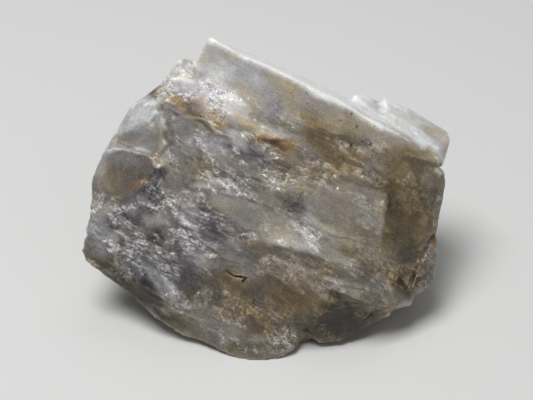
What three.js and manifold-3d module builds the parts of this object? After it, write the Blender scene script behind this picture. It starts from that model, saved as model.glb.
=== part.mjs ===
// An amblygonite crystal: one cleaved and broken chunk, about 56 mm across, standing on a flat broken face.
//
// The chunk is described in the frame of its broad broken face, which leans back from upright. A corner is
// [across, up, back] in millimetres: across runs along the face to the right, up runs up its slope, and back
// is the depth behind it. Each block is the convex solid round its corners. The blocks join into one solid,
// steps and hollows are cut out of it, its faces are made uneven, and a level cut makes its foot.
import * as THREE from "three";
import { ConvexGeometry } from "three/addons/geometries/ConvexGeometry.js";
import { TessellateModifier } from "three/addons/modifiers/TessellateModifier.js";
import { mergeVertices } from "three/addons/utils/BufferGeometryUtils.js";
import Module from "manifold-3d";

// Driving dimensions, in millimetres and degrees.
const LEAN = 35; // how far the broad face leans back from upright
const FOOT_DROP = 20.4; // height of the broad face's middle above the surface that the chunk stands on
const FACET = 4.2; // longest edge of a facet of the broken surface
const CUTTER = 200; // size of the box that cuts the foot level
// How far the broken surface wanders, and over what distance.
const UNEVENNESS = [
  { spacing: 9, depth: 0.45 },
  { spacing: 3.7, depth: 0.3 },
];
// Working tolerances: corners this near are one corner, and edges are halved at most this many times.
const MERGE = 1e-4;
const MERGE_SPLIT = 1e-3;
const SPLIT_PASSES = 8;

// The look of the stone.
const STONE = { color: 0xb9b2a8, roughness: 0.5, metalness: 0 };

// The body that everything else stands proud of.
const CORE = [
  // behind the broad face
  [-13, 12, 2.4], [-2, 14, 1.4], [8, 10, 1.6], [16, 6, 1.8], [19, 0, 1.6], [18.5, -6, 1.4],
  [13.5, -13, 1.6], [5, -17.5, 1.4], [-6, -17.5, 1.2], [-14, -13, 2.8], [-20.5, -7, 3.8], [-19, 1, 3.2],
  // its rim
  [-16.4, 16.2, 6.4], [-21.5, 11.5, 7.8], [-26.6, 0, 8.6], [-26.6, -8, 7], [-20.6, -13.6, 6.6],
  [-14.3, -18.6, 6.2], [-6.5, -22.2, 4.4], [1.5, -22.6, 3.6], [8, -21, 6], [16, -18.1, 6.6],
  [22.2, -14, 7], [25, -8, 7], [26.2, -2, 8], [26.6, 4, 8.6], [24.6, 9, 9.8],
  // its back and underside
  [-12, 13, 17], [-21, 5, 17.5], [-22, -5, 19], [-16, -6, 25], [1, -4, 28], [15, -3, 25.5], [23, 0, 19],
  [19, 8, 17], [4, 14, 17.5], [-11, -17.5, 12], [11, -17, 12], [-12, -10.5, 22], [11, -9.5, 24],
];

// The smooth slab that runs along the top.
const SLAB = [
  // front face
  [-8.3, 24, 3.2], [-9.2, 22.8, 3.6], [-10.6, 20.7, 3.4], [-9.9, 18.4, 1.8], [-3.9, 15.7, 0.7],
  [4.9, 11.1, 0.1], [11.5, 8.8, 0.3], [16.4, 7.6, 1], [23.6, 6, 3], [26.2, 5.2, 5.2], [26.1, 6.4, 5.4],
  [20.6, 9.9, 4], [14.2, 13.1, 3.4], [11.1, 14.2, 3.1], [6.3, 16.9, 2.9], [1.4, 19.4, 2.9], [-4, 21.9, 3],
  // far edge of its narrow top face
  [-8.2, 23.9, 9], [-4.1, 22.9, 9.5], [1.6, 20.7, 9.5], [6.5, 18.6, 9.5], [11.5, 15.9, 9.5], [13, 14.9, 9.5],
  // back
  [-9, 21.4, 13], [1.6, 18.4, 14], [11.5, 13.4, 14], [24, 5, 15], [-9.5, 12, 14],
];

// The higher ledge behind the slab's right half.
const REAR_STEP = [
  [13.1, 16.2, 8.6], [14.6, 16.1, 10], [18.3, 15.6, 12], [22, 14.5, 12.4], [25.4, 12.7, 12.6],
  [28.6, 10.7, 12], [28.8, 9.4, 11], [27.6, 7.1, 9], [27.1, 5.4, 7.8], [25.4, 7.4, 5.8], [12.8, 13.4, 7.2],
  [13, 9, 17], [22, 7, 16], [25, 4, 13],
];

// The grainy mass at the slab's left end.
const SHOULDER = [
  [-10.7, 20.8, 4], [-12.6, 21.5, 5.8], [-13.3, 21.4, 6.4], [-14.2, 20.3, 6.4], [-15.1, 18.8, 6.2],
  [-16.6, 17.2, 5.8], [-16.4, 15.4, 4], [-15.6, 13.5, 2.8], [-13.1, 12.2, 1.4], [-5.6, 14.2, 0.4],
  [-9.2, 18.6, 1.9], [-9, 18, 13], [-15, 13, 14],
];

// Three smooth scales that overlap down the left side.
const SCALE_HIGH = [
  [-16.8, 17.2, 6.6], [-17.9, 16.2, 6.8], [-18.5, 15.6, 6.8], [-20.7, 14.7, 7.6], [-23, 11.6, 8.2],
  [-20.9, 11.1, 5.2], [-17.4, 11.4, 3.3], [-15.6, 13.5, 2.8], [-16, 15.7, 4.2], [-16, 10, 14], [-20, 8, 16],
];
const SCALE_MIDDLE = [
  [-22.9, 11.8, 8.4], [-24, 10.2, 8.6], [-25.3, 7.9, 8.8], [-20.9, 11.1, 5.4], [-17.2, 11.6, 3.4],
  [-15.4, 9.3, 2.4], [-14.9, 7.4, 2.2], [-17.3, 6.3, 3], [-22.7, 7.4, 6.2], [-17, 6, 14], [-22, 4, 16],
];
const SCALE_LOW = [
  [-25.2, 7.9, 8.2], [-26.4, 5.4, 8.4], [-27.3, 2.7, 8.5], [-27.3, 0.1, 8.4], [-27.2, -1.8, 7.4],
  [-23.9, 8.1, 5.6], [-20.4, 7.6, 2.8], [-17, 6.6, 1.4], [-16.3, 5.3, 1.2], [-17.2, 2.1, 1.4],
  [-19.2, 0.4, 2.2], [-23.5, -0.5, 4.2], [-18, -2, 14], [-22, 2, 17],
];

// The outline of the broad face, [across, up], in two overlapping halves. It lies on the bulge.
const UPPER_FACE = [
  [-15.4, 15], [-9, 18], [-3, 15.3], [5, 11.5], [9.3, 6.4], [13.1, 6.1], [17.6, 1.5], [17.2, -2],
  [16.4, -6], [-2, -6], [-14, -3], [-16.5, 3], [-15, 8], [0, 2], [4, -1],
];
const LOWER_FACE = [
  [-16, 3.5], [-20, 0], [-24.5, -2.5], [-25.6, -5], [-24, -9.2], [-18, -14.2], [-10, -18], [-4, -18.4],
  [8, -17], [18, -14.5], [20, -11], [16.4, -6], [0, 0], [4, -1], [0, -9],
];
const FACE_ROOT = 9; // how deep the broad face and its lamellae reach into the body

// Cleavage lamellae that lie on the broad face and slope down to the right. Each runs [across, up] from one
// end to the other and has a width across the slope. Its lower edge stands proud of the face, most at the
// middle, and its upper edge and its ends die away into it.
const LAMELLAE = [
  { from: [-15, 17.6], to: [9.5, 6.8], width: 6, proud: 0.7 },
  { from: [-15.8, 11.5], to: [9, 0], width: 5.5, proud: 0.8 },
  { from: [-16, 6.4], to: [0, -1], width: 5, proud: 1 },
  { from: [-11, 1.6], to: [4, -6.4], width: 5, proud: 0.9 },
  { from: [1, 5], to: [18, -2.6], width: 9, proud: 1.1 },
  { from: [-1, -3.8], to: [17, -10.4], width: 4.6, proud: 0.9 },
  { from: [-24, -1], to: [-2, -11], width: 6.5, proud: 1 },
  { from: [-26, -5.6], to: [-8, -16], width: 5, proud: 1 },
  { from: [5, -9.6], to: [22, -15], width: 4.4, proud: 0.9 },
  { from: [-12, -12], to: [8, -17.5], width: 4, proud: 0.5 },
];
const LAMELLA_STATIONS = 7; // places along a lamella where it follows the bulge
const LAMELLA_TIP = 0.3; // how wide its ends are, beside its middle
const LAMELLA_SPLAY = 1.3; // how much wider its root is than its face
const LAMELLA_SINK = 0.25; // how far its upper edge and its ends sink into the face

// The bulge of the broad face: where its crown lies, how far from the crown it has fallen away, how deep it
// has fallen there, and the power that keeps its middle flat.
const CROWN = { across: 4, up: -1, back: -1.6 };
const FALL_LEFT = { distance: 30, depth: 9.5, power: 3 };
const FALL_RIGHT = { distance: 22.5, depth: 9.5, power: 3 };
const FALL_UP = { distance: 24, depth: 3.4, power: 2.5 };

// The right side, set back behind the middle plate.
const RIGHT_FACE = [
  [12.8, 7.6, 0.9], [16.5, 8, 1.6], [23.4, 6.4, 3.8], [17.6, 2.2, 0.7], [24.6, 4.4, 3.8], [27.2, 4.6, 7],
  [27.3, 3.1, 7.4], [26.6, 0.7, 7.4], [26.2, -1.8, 7.2], [25.4, -3.6, 6.6], [25, -5.4, 5.6],
  [23.4, -7.6, 3.8], [16.6, -8.2, 0.6], [20, 6, 14], [20, 0, 16], [20, -5, 16],
];
const RIGHT_RIM = [
  [25.7, -5.2, 6.4], [25.8, -6.3, 6.2], [25.3, -7.5, 5.4], [25.7, -8.4, 6], [25.3, -9.9, 5.6],
  [25.4, -11.7, 6], [24.7, -13, 5.6], [23.1, -14, 5.2], [21.1, -15.2, 4.8], [21.7, -12.7, 2.8],
  [23, -9.2, 3], [20, -8, 16], [19, -11, 15],
];

// The lower edge, from left to right.
const CORNER_KNOB = [
  [-27, -1.7, 6.6], [-27.1, -4.5, 6.2], [-27.7, -6, 6], [-27.9, -7.3, 6], [-27.4, -8.6, 5.6],
  [-26, -9.8, 5.4], [-23.4, -11.7, 5.2], [-21.8, -6.8, 3], [-24.4, -0.6, 4.6], [-20.5, -3, 2.4],
  [-20, -4, 14], [-20, -9, 13],
];
const LOWER_LEFT = [
  [-25.6, -10, 5.6], [-23.4, -11.7, 5.2], [-20.9, -13.8, 4.8], [-18.3, -16.3, 4.4], [-16.6, -17.7, 4.2],
  [-14.6, -19.1, 4], [-12.2, -20.8, 4], [-9.3, -21.4, 3.4], [-8.6, -17.4, 1.2], [-15.8, -12.5, 2],
  [-20.8, -8.4, 3.2], [-22, -9, 11], [-15, -15, 12], [-9, -18, 10],
];
const TOE = [
  [-12, -20.3, 4], [-9.3, -21.6, 2.8], [-6, -23.2, 2], [-3, -24.2, 1.6], [-1, -24.2, 1.5],
  [2, -23.5, 1.6], [4.1, -22.3, 1.9], [5.4, -21, 2.4], [3.4, -17.8, -0.3], [-3.9, -16.9, -0.3],
  [-9.1, -17.3, 0.8], [-9, -18, 11], [3, -18, 11],
];
const SECOND_TOE = [
  [6.1, -20.7, 3.2], [8.1, -21.8, 3.2], [10.5, -21.2, 3.4], [12.1, -20.3, 3.6], [14.6, -19.3, 4.2],
  [16.3, -18.2, 4.8], [18.8, -17, 5.4], [15, -14.7, 1.4], [8.2, -16.4, 0.6], [6.7, -18.5, 1.2],
  [8, -17, 12], [16, -14, 12],
];

const BLOCKS = [
  CORE, SLAB, REAR_STEP, SHOULDER, SCALE_HIGH, SCALE_MIDDLE, SCALE_LOW, RIGHT_FACE, RIGHT_RIM,
  CORNER_KNOB, LOWER_LEFT, TOE, SECOND_TOE,
];

// What is broken out: the three-cornered hollow under the slab.
const RECESS = [
  [5.6, 11.6, -3], [11.2, 4.6, -3], [14.8, 8.6, -3], [6.8, 10.6, 1.6], [11.3, 5, -0.9], [13.9, 8.2, 1.8],
];

// The directions in which the crystal cleaves, and the steps cut out of its back along them. A step is the
// corner where it starts and how far it reaches along each direction.
const CLEAVAGE = [[0.88, -0.47, 0], [0.42, 0.86, -0.28], [0.1, 0.4, 0.91]];
const BACK_STEPS = [
  { corner: [-30, 14, 12.5], reach: [20, 22, 20] },
  { corner: [-34, 3, 19.5], reach: [25, 14, 20] },
  { corner: [6, 4, 23], reach: [30, 20, 20] },
  { corner: [14, -12, 22.5], reach: [20, 22, 20] },
  { corner: [-24, -18, 20], reach: [16, 12, 20] },
];

const wasm = await Module();
wasm.setup();

// [across, up, back] as a vector of the chunk before it leans: X right, Y back, Z up.
function place([across, up, back]) {
  return new THREE.Vector3(across, back, up);
}

// A closed three.js geometry as a solid that can be joined and cut.
function solidOf(geometry) {
  geometry.deleteAttribute("normal");
  geometry.deleteAttribute("uv");
  const merged = mergeVertices(geometry, MERGE);
  const mesh = new wasm.Mesh({
    numProp: 3,
    vertProperties: merged.attributes.position.array,
    triVerts: new Uint32Array(merged.index.array),
  });
  return new wasm.Manifold(mesh);
}

// A solid as a three.js geometry.
function geometryOf(solid) {
  const mesh = solid.getMesh();
  const positions = new THREE.BufferAttribute(mesh.vertProperties, 3);
  const geometry = new THREE.BufferGeometry().setAttribute("position", positions);
  return geometry.setIndex(new THREE.BufferAttribute(mesh.triVerts, 1));
}

// The convex solid round a list of corners.
function block(corners) {
  return solidOf(new ConvexGeometry(corners.map(place)));
}

// How deep the bulge of the broad face lies at a place on it.
function bulge(across, up) {
  const fall = ({ distance, depth, power }, away) => depth * (Math.abs(away) / distance) ** power;
  const side = across < CROWN.across ? FALL_LEFT : FALL_RIGHT;
  return CROWN.back + fall(side, across - CROWN.across) + fall(FALL_UP, up - CROWN.up);
}

// The corners of a part of the broad face: its outline on the bulge, and the same outline at the root.
function broadFace(outline) {
  return outline.flatMap(([across, up]) => [
    [across, up, bulge(across, up)],
    [across, up, FACE_ROOT],
  ]);
}

// The corners of one lamella: at each station an upper and a lower edge on the bulge, and a wider root.
function lamella({ from, to, width, proud }) {
  const start = new THREE.Vector2(...from);
  const end = new THREE.Vector2(...to);
  const along = end.clone().sub(start).normalize();
  const upward = new THREE.Vector2(-along.y, along.x);
  const corners = [];
  for (let i = 0; i < LAMELLA_STATIONS; i += 1) {
    const t = i / (LAMELLA_STATIONS - 1);
    const swell = Math.sin(Math.PI * t);
    const half = (width / 2) * (LAMELLA_TIP + (1 - LAMELLA_TIP) * Math.sqrt(swell));
    const middle = start.clone().lerp(end, t);
    for (const side of [-1, 1]) {
      const edge = middle.clone().addScaledVector(upward, side * half);
      const root = middle.clone().addScaledVector(upward, side * half * LAMELLA_SPLAY);
      const rise = side < 0 ? proud * swell : 0;
      const depth = bulge(edge.x, edge.y) + LAMELLA_SINK - rise;
      corners.push([edge.x, edge.y, depth], [root.x, root.y, FACE_ROOT]);
    }
  }
  return corners;
}

// The slanted box that one cleavage step takes away.
function cleavageStep({ corner, reach }) {
  const edges = CLEAVAGE.map((direction, i) => place(direction).normalize().multiplyScalar(reach[i]));
  const corners = [place(corner)];
  for (const edge of edges) {
    corners.push(...corners.map((point) => point.clone().add(edge)));
  }
  return solidOf(new ConvexGeometry(corners));
}

// A repeatable value from -1 to 1 for a whole-numbered point of a grid: the fraction of a large, fast wave.
const WAVE = { x: 127.1, y: 311.7, z: 74.7, seed: 53.3, size: 43758.5453 };
function gridValue(x, y, z, seed) {
  const wave = Math.sin(x * WAVE.x + y * WAVE.y + z * WAVE.z + seed * WAVE.seed) * WAVE.size;
  return 2 * (wave - Math.floor(wave)) - 1;
}

// Smooth noise from -1 to 1 at a point.
function noise(point, seed) {
  const cell = point.clone().floor();
  const [tx, ty, tz] = point.clone().sub(cell).toArray().map((t) => t * t * (3 - 2 * t));
  let sum = 0;
  for (let corner = 0; corner < 8; corner += 1) {
    const [dx, dy, dz] = [corner & 1, (corner >> 1) & 1, corner >> 2];
    const weight = (dx ? tx : 1 - tx) * (dy ? ty : 1 - ty) * (dz ? tz : 1 - tz);
    sum += weight * gridValue(cell.x + dx, cell.y + dy, cell.z + dz, seed);
  }
  return sum;
}

// Makes the broken faces uneven: long edges are split, and every corner wanders a little.
function breakUp(geometry) {
  const pieces = new TessellateModifier(FACET, SPLIT_PASSES).modify(geometry.toNonIndexed());
  const split = mergeVertices(pieces, MERGE_SPLIT);
  const positions = split.attributes.position;
  const start = new THREE.Vector3();
  for (let i = 0; i < positions.count; i += 1) {
    start.fromBufferAttribute(positions, i);
    const moved = start.clone();
    UNEVENNESS.forEach(({ spacing, depth }, layer) => {
      const where = start.clone().divideScalar(spacing);
      const wander = [0, 1, 2].map((axis) => noise(where, 3 * layer + axis));
      moved.addScaledVector(new THREE.Vector3(...wander), depth);
    });
    positions.setXYZ(i, ...moved.toArray());
  }
  return split;
}

const convex = [...BLOCKS, ...[UPPER_FACE, LOWER_FACE].map(broadFace), ...LAMELLAE.map(lamella)];
const joined = convex.map(block).reduce((whole, one) => whole.add(one));
const cuts = [block(RECESS), ...BACK_STEPS.map(cleavageStep)];
const cleaved = cuts.reduce((whole, one) => whole.subtract(one), joined);
const leaning = breakUp(geometryOf(cleaved)).rotateX(-THREE.MathUtils.degToRad(LEAN));

const below = new THREE.BoxGeometry(CUTTER, CUTTER, CUTTER).translate(0, 0, -CUTTER / 2 - FOOT_DROP);
const standing = geometryOf(solidOf(leaning).subtract(solidOf(below)));
standing.computeBoundingBox();
const { min, max } = standing.boundingBox;
standing.translate(-(min.x + max.x) / 2, -(min.y + max.y) / 2, -min.z);

const crystal = new THREE.Mesh(standing, new THREE.MeshStandardMaterial(STONE));
crystal.name = "amblygonite_crystal";

const root = new THREE.Group();
root.add(crystal);
export default root;
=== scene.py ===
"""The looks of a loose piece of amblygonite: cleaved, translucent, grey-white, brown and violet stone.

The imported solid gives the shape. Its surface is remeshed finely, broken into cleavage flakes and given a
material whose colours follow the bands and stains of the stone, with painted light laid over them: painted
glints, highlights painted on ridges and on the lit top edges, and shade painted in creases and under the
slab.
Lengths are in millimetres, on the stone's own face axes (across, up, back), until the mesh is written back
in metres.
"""
import itertools
import math

import bpy
import numpy as np
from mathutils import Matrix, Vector


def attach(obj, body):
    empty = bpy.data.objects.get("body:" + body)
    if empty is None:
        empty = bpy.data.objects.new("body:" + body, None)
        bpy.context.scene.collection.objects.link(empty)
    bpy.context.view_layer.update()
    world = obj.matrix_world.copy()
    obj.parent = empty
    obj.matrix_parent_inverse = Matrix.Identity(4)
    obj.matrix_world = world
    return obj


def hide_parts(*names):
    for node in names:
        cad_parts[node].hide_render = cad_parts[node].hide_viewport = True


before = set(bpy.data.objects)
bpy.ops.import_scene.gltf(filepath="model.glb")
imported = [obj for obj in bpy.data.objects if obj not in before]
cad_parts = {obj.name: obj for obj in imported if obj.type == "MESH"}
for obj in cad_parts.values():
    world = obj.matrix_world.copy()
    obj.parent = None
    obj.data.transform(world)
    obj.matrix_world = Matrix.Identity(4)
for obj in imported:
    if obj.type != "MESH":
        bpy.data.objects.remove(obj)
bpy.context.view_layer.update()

NODE = "amblygonite_crystal"
SLOT = "amblygonite"
PIECE = "crystal"
MM = 0.001

# ---- the broad face's axes in the part's frame
LEAN = math.radians(35)           # how far the face leans back
FACE_ORIGIN = (-0.282, -5.117, 20.4)  # the middle of the face
GRAIN = math.radians(-28)         # the fibres run down to the right across the face
GRAIN_BENDS = ((14.0, 1.3, (31, 32, 33)), (2.6, 0.3, (41, 42, 43)))  # size, reach, seeds

# ---- the view, square on to the broad face
VIEW_DISTANCE = 200.0
VIEW_WIDTH = 80.27                # what the picture shows across, at that distance
FACE_DEPTH = 5.0                  # the camera looks at a point this far behind the face's middle
SENSOR_WIDTH = 36

# ---- the surface
COARSE_VOXEL = 0.34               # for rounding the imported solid's own steps
FINE_VOXEL = 0.17                 # for the flakes
WELD_GAP = 0.001                  # points this near are one
TRIANGLES = 196_000
SHARP = math.radians(32)          # edges sharper than this are shaded as edges
SMOOTHING = 0.5                   # how far one smoothing step goes
CREASE_ROUNDS = 3
CREASE_STEPS = 110                # so many steps reach into a crease
CREASE_KEPT = 0.03                # a hollow this shallow stays
CREASE_FILLED = 0.25              # one this deep is filled
NOTCH = (-10.6, 20.9)             # the corner where the slab rises from the crest stays sharp
NOTCH_RADIUS = 2.5
NOTCH_FADE = (0.5, 1)             # in radii
FACE_STEPS = (200, 60)            # smoothing steps over the broad face, in turns
BROAD_DEPTHS = (8, 5)             # the broad face fades out between these depths
BROAD_BORDER = 2.0                # how soft its outline is
SLAB_SLOPE = (2.39, 20.9, 0.27)   # how far back the slab's face is, at this height, and more per mm up
SLAB_END_BORDER = 0.8
SLAB_END_TURNS = (0.05, 0.3)      # only what faces the front this much is brought forward
FOOT_FADE = 1.2                   # the surface calms down over this height above the foot
STEP_WIDTH = 0.5                  # half of the slope between two levels
RIDGE_END = 0.3                   # a ridge's height at its ends, against its middle
LINE_WANDER = 0.3                 # how far a line strays
LINE_NOISES = ((1, 62), (2, 63))  # the size and seed of its straying, across and up
MOST_OUT = 0.6                    # a flake stands this far out at most
MOST_IN = -1.5                    # and a groove is this deep at most
EDGE_STEPS = 6                    # smoothing steps that find edges and pits
EDGE_FULL = 0.05                  # a point this far off the smoothed surface is fully edge or pit
OUT_OF_REACH = 99                 # the hidden sides lie this far from the face's specks


# -------- axes
def face_axes():
    """The face's across, up and back directions as columns, in the part's frame."""
    across = (1, 0, 0)
    up = (0, math.sin(LEAN), math.cos(LEAN))
    back = (0, math.cos(LEAN), -math.sin(LEAN))
    return np.array([across, up, back], float).T


def grain_axes():
    """Along the fibres, across them in the face, and out of the face, as columns, in the part's frame."""
    across, up, back = face_axes().T
    along = math.cos(GRAIN) * across + math.sin(GRAIN) * up
    over = -math.sin(GRAIN) * across + math.cos(GRAIN) * up
    return np.array([along, over, -back]).T


def on_face(points):
    return (points - FACE_ORIGIN) @ face_axes()


def on_grain(points):
    """Places along the fibres, which wander."""
    places = (points - FACE_ORIGIN) @ grain_axes()
    for size, reach, seeds in GRAIN_BENDS:
        places = places + reach * noise_columns(points, size, seeds)
    return places


def as_seen(face):
    """Places across the face as they line up with its front, for a viewer square on to it."""
    return face[:, :2] / (1 + (face[:, 2:] - FACE_DEPTH) / VIEW_DISTANCE)


def smoothstep(low, high, value):
    part = np.clip((value - low) / (high - low), 0, 1)
    return part * part * (3 - 2 * part)


# -------- random patterns
CELL_MIX = (0x9E3779B1, 0x85EBCA6B, 0xC2B2AE35)
SEED_MIX = (7919, 13)
HASH_ROUNDS = ((15, 0x2C1B3C6D), (12, 0x297A2D39))  # how far to shift, and the factor
LAST_SHIFT = 15


def scrambled(cells, seed, count):
    """Repeatable random numbers from 0 to 1 for whole-number cells, in so many columns."""
    whole = cells.astype(np.int64).astype(np.uint32)
    mixed = whole @ np.array(CELL_MIX, np.uint32)
    mixed = mixed ^ np.uint32(seed * SEED_MIX[0] + SEED_MIX[1])
    columns = []
    for _ in range(count):
        for shift, factor in HASH_ROUNDS:
            mixed = (mixed ^ (mixed >> np.uint32(shift))) * np.uint32(factor)
        mixed = mixed ^ (mixed >> np.uint32(LAST_SHIFT))
        columns.append(mixed / 2**32)
    return np.stack(columns, axis=-1)


def soft_noise(points, size, seed):
    """Smooth noise from -1 to 1 with one value per size."""
    place = points / size
    base = np.floor(place)
    part = place - base
    part = part * part * (3 - 2 * part)
    total = np.zeros(len(points))
    for corner in itertools.product((0, 1), repeat=3):
        near = np.where(corner, part, 1 - part).prod(axis=1)
        total += near * scrambled(base + corner, seed, 1)[:, 0]
    return 2 * total - 1


def noise_columns(points, size, seeds):
    return np.stack([soft_noise(points, size, seed) for seed in seeds], axis=1)


# -------- the map of the face
# The stone's channels, and what it is like where no area says otherwise.
PLAIN = {"tone": 0.45, "warm": 0.5, "rust": 0.0, "violet": 0.15, "sugar": 0.35, "rough": 0.6}

FRONT_TURNS = (-0.75, -0.4)       # the map fades in where the surface faces the front this much,
FRONT_DEPTHS = (19, 15)           # and between these depths behind the face
BORDER_BENDS = ((1.1, 0.45, (81, 82)), (3.1, 0.5, (83, 84)))  # size, reach and seeds
OUTLINE_WANDER = 0.4              # the part of that an outline takes, for each mm of its softness
OVAL_FADE = (0.35, 1.35)          # where an oval starts to fade and where it is gone, in half sizes
PATCH_SIZE = (9.0, 4.0, 4.0)      # random patches all over the stone, along the grain
PATCH_CHANGE = 0.14
PATCH_SEED = 90
VEILS = (((4.4, 2.2, 2.2), 1.0, 97), ((1.7, 0.9, 0.9), 0.6, 98))  # size, strength and seed
VEIL_BORDER = (-0.25, 0.35)
VEIL_ON_TONE = 0.12
VEIL_ON_SUGAR = (0.2, 1.1)        # the factor with no veil, and what a full veil adds to it
VEIL_ON_ROUGH = (0.3, 0.9)

# The part of the broad face that is broken evenly all over.
BROAD_FACE = ((-15, 13), (-12.5, 16), (-7, 20.4), (-1, 18.2), (6, 14.6), (12, 11), (18, 8.4), (22.5, 5),
              (22, -9), (17, -13.5), (8, -13), (3, -18), (-2, -20), (-9, -18), (-15, -13), (-22, -7.5),
              (-24, -1), (-18, 1), (-15.6, 5))

# The bevel at the slab's left end.
SLAB_END = ((-10.4, 26.2), (-6.8, 25.6), (-7.8, 19), (-10.4, 18.6), (-11.8, 20), (-11.8, 22.4))


def in_outline(seen, wander, softness, corners):
    """1 inside the outline and 0 outside, over a soft border."""
    x, y = (seen + OUTLINE_WANDER * softness * wander).T
    inside = np.zeros(len(seen), bool)
    gap = np.full(len(seen), np.inf)
    for (x0, y0), (x1, y1) in zip(corners, corners[1:] + corners[:1]):
        dx, dy = x1 - x0, y1 - y0
        along = np.clip(((x - x0) * dx + (y - y0) * dy) / (dx * dx + dy * dy), 0, 1)
        gap = np.minimum(gap, np.hypot(x - x0 - along * dx, y - y0 - along * dy))
        crosses = (y0 > y) != (y1 > y)
        inside ^= crosses & (x < x0 + (y - y0) * dx / (dy or 1))
    return smoothstep(-softness, softness, np.where(inside, gap, -gap))


def in_oval(seen, wander, middle, half, turn):
    """1 in the middle of a soft oval and 0 past its edge."""
    angle = math.radians(turn)
    x, y = (seen + wander - middle).T
    along = (x * math.cos(angle) + y * math.sin(angle)) / half[0]
    over = (y * math.cos(angle) - x * math.sin(angle)) / half[1]
    return 1 - smoothstep(*OVAL_FADE, np.hypot(along, over))


def outline(softness, *corners, **likeness):
    """An area of the map: how soft its border is, its corners (across, up) and what the stone is like."""
    return in_outline, (softness, corners), likeness


def oval(across, up, half_length, half_width, turn, **likeness):
    """An area of the map: its middle, its size, its turn in degrees and what the stone is like."""
    return in_oval, ((across, up), (half_length, half_width), turn), likeness


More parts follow.
